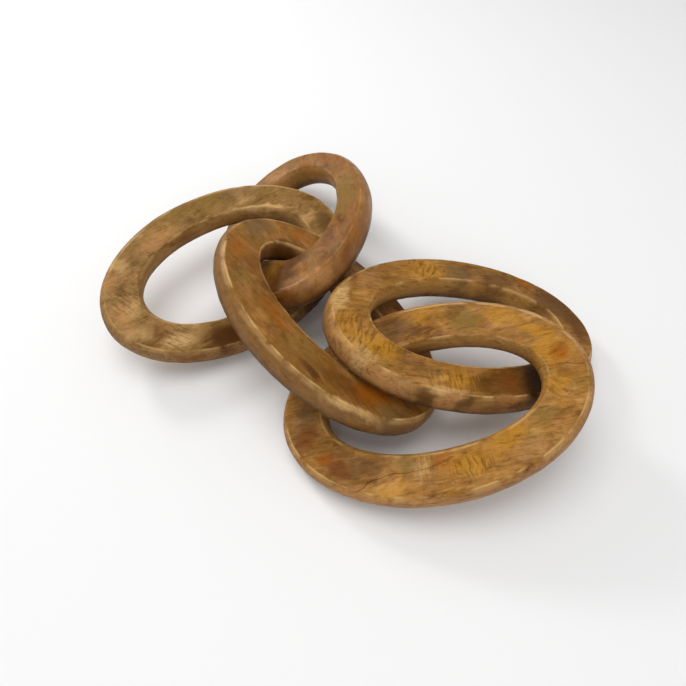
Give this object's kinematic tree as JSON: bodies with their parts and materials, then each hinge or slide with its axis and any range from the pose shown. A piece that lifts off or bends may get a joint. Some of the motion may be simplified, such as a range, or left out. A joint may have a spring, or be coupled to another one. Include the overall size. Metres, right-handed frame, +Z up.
{
  "type": "carved wooden chain",
  "caption": "Decorative chain of interlocked oval wooden links with rounded edges, lying in a loose heap.",
  "frame": {"origin": "on the surface that the chain lies on, under the middle of its bounding box", "axes": "+X to the right along the heap's longest side, +Y to the back, +Z up"},
  "size_m": [0.2706, 0.2422, 0.0622],
  "materials": {
    "olive_wood": "satin waxed hardwood, olive tan with short dark flecks",
    "tan_wood": "satin waxed hardwood, reddish tan with streaks along the grain",
    "dark_wood": "satin waxed hardwood, orange brown, its edges worn paler",
    "amber_wood": "satin waxed hardwood, golden amber with darker grain and a knot",
    "golden_wood": "satin waxed hardwood, golden brown, darker and greyer at one end"
  },
  "bodies": {
    "root": {"left_link": "olive_wood", "back_link": "tan_wood", "middle_link": "dark_wood", "front_link": "amber_wood", "right_link": "golden_wood"}
  },
  "joints": []
}
